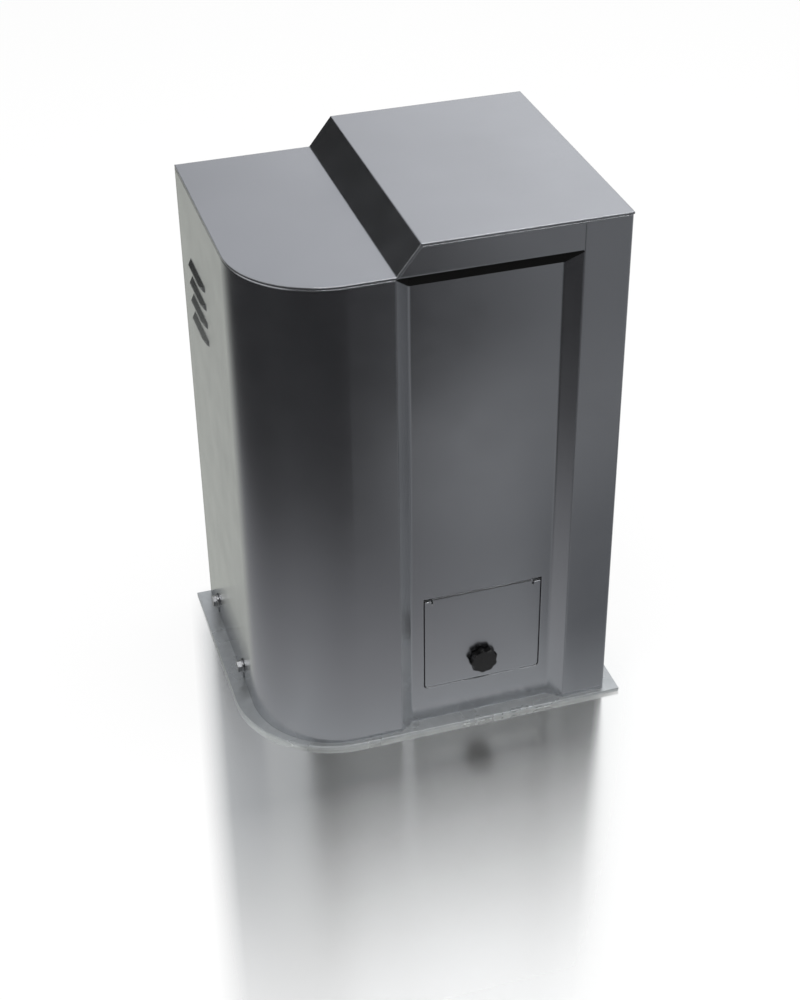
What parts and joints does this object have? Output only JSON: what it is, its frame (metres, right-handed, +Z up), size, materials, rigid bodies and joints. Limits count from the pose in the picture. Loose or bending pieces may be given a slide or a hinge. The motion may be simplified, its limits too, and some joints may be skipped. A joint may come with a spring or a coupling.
{
  "type": "sliding gate motor",
  "caption": "Sliding gate motor: folded sheet-steel cover with inspection door over a worm gearbox, upright motor, controls and a rear rack pinion on a drilled base plate.",
  "frame": {"origin": "centre of the base plate's underside", "axes": "+Z up, -Y towards the front with the inspection door, +Y towards the gate and the pinion, +X to the right seen from the front"},
  "size_m": [0.35, 0.3176, 0.5],
  "materials": {
    "cover_paint": "satin metallic powder coat",
    "zinc_steel": "zinc plated",
    "screw_steel": "zinc plated",
    "black_plastic": "glossy",
    "rubber_black": "matt",
    "cast_alloy": "as cast",
    "ground_steel": "ground",
    "bronze": "machined",
    "core_steel": "laminated",
    "copper_wire": "varnished",
    "dark_plastic": "matt",
    "grip_red": "soft matt",
    "board_green": "solder resist",
    "terminal_green": "moulded",
    "tape_yellow": "wound tape",
    "can_alloy": "drawn"
  },
  "bodies": {
    "base": {"base_plate": "zinc_steel", "levelling_screws": "screw_steel", "cable_grommet": "rubber_black", "earth_stud": "bronze", "left_bracket": "zinc_steel", "right_bracket": "zinc_steel", "cover_screws": "screw_steel", "bracket_nuts": "screw_steel", "gear_housing": "cast_alloy", "gearbox_lid": "cast_alloy", "gearbox_fasteners": "screw_steel", "shaft_bearings": "ground_steel", "worm_bearings": "ground_steel", "motor_bearing": "ground_steel", "shaft_seal": "rubber_black", "oil_plugs": "screw_steel", "lower_shield": "cast_alloy", "upper_shield": "cast_alloy", "stator_housing": "cast_alloy", "stator_core": "core_steel", "stator_windings": "copper_wire", "fan_cowl": "dark_plastic", "motor_tie_rods": "screw_steel", "release_cap": "cast_alloy", "clutch_springs": "ground_steel", "control_panel": "zinc_steel", "panel_fixings": "screw_steel", "circuit_board": "board_green", "board_components": "dark_plastic", "terminal_blocks": "terminal_green", "transformer": "tape_yellow", "component_clamps": "zinc_steel", "run_capacitor": "can_alloy", "switch_bracket": "zinc_steel", "switch_body": "dark_plastic"},
    "cover": {"cover_left_shell": "cover_paint", "cover_right_shell": "cover_paint", "cover_recess_panel": "cover_paint", "cover_hood_front": "cover_paint", "cover_rear_panel": "cover_paint", "cover_top_sheet": "cover_paint", "door_hinge_rod": "screw_steel", "door_hinge_lugs": "cover_paint"},
    "door": {"door_panel": "cover_paint"},
    "knob": {"door_knob": "black_plastic", "knob_cam": "screw_steel", "knob_nut": "screw_steel"},
    "output": {"output_shaft": "ground_steel", "worm_wheel": "bronze", "pinion": "ground_steel", "shaft_key": "ground_steel", "pinion_retainer": "screw_steel", "clutch_cone": "ground_steel"},
    "rotor": {"worm_shaft": "ground_steel", "rotor_core": "core_steel", "cooling_fan": "dark_plastic"},
    "release": {"release_lever": "cast_alloy", "release_spindle": "ground_steel", "lever_grip": "grip_red"},
    "limit": {"limit_arm": "screw_steel"}
  },
  "joints": [
    {"name": "cover_lift", "type": "slide", "parent": "base", "child": "cover", "axis": [0, 0, 1], "range_m": [0, 0.48]},
    {"name": "door_hinge", "type": "hinge", "parent": "cover", "child": "door", "pos_m": [0.0415, -0.1184, 0.1405], "axis": [-1, 0, 0], "range_deg": [0, 95]},
    {"name": "knob_turn", "type": "hinge", "parent": "door", "child": "knob", "pos_m": [0.0415, -0.1215, 0.065], "axis": [0, 1, 0], "range_deg": [0, 90]},
    {"name": "motor_spin", "type": "hinge", "parent": "base", "child": "rotor", "pos_m": [-0.0385, 0.025, 0.2], "axis": [0, 0, 1], "continuous": true},
    {"name": "output_spin", "type": "hinge", "parent": "base", "child": "output", "pos_m": [0.0415, 0.025, 0.092], "axis": [0, 1, 0], "continuous": true},
    {"name": "release_turn", "type": "hinge", "parent": "base", "child": "release", "pos_m": [0.0415, -0.078, 0.092], "axis": [0, 1, 0], "range_deg": [0, 90]},
    {"name": "limit_swing", "type": "hinge", "parent": "base", "child": "limit", "pos_m": [0.0415, 0.1046, 0.173], "axis": [0, 0, 1], "range_deg": [-30, 30], "stiffness_Nm_per_rad": 0.3}
  ],
  "couplings": [
    {"joint": "output_spin", "follows": "motor_spin", "ratio": -0.033333}
  ]
}
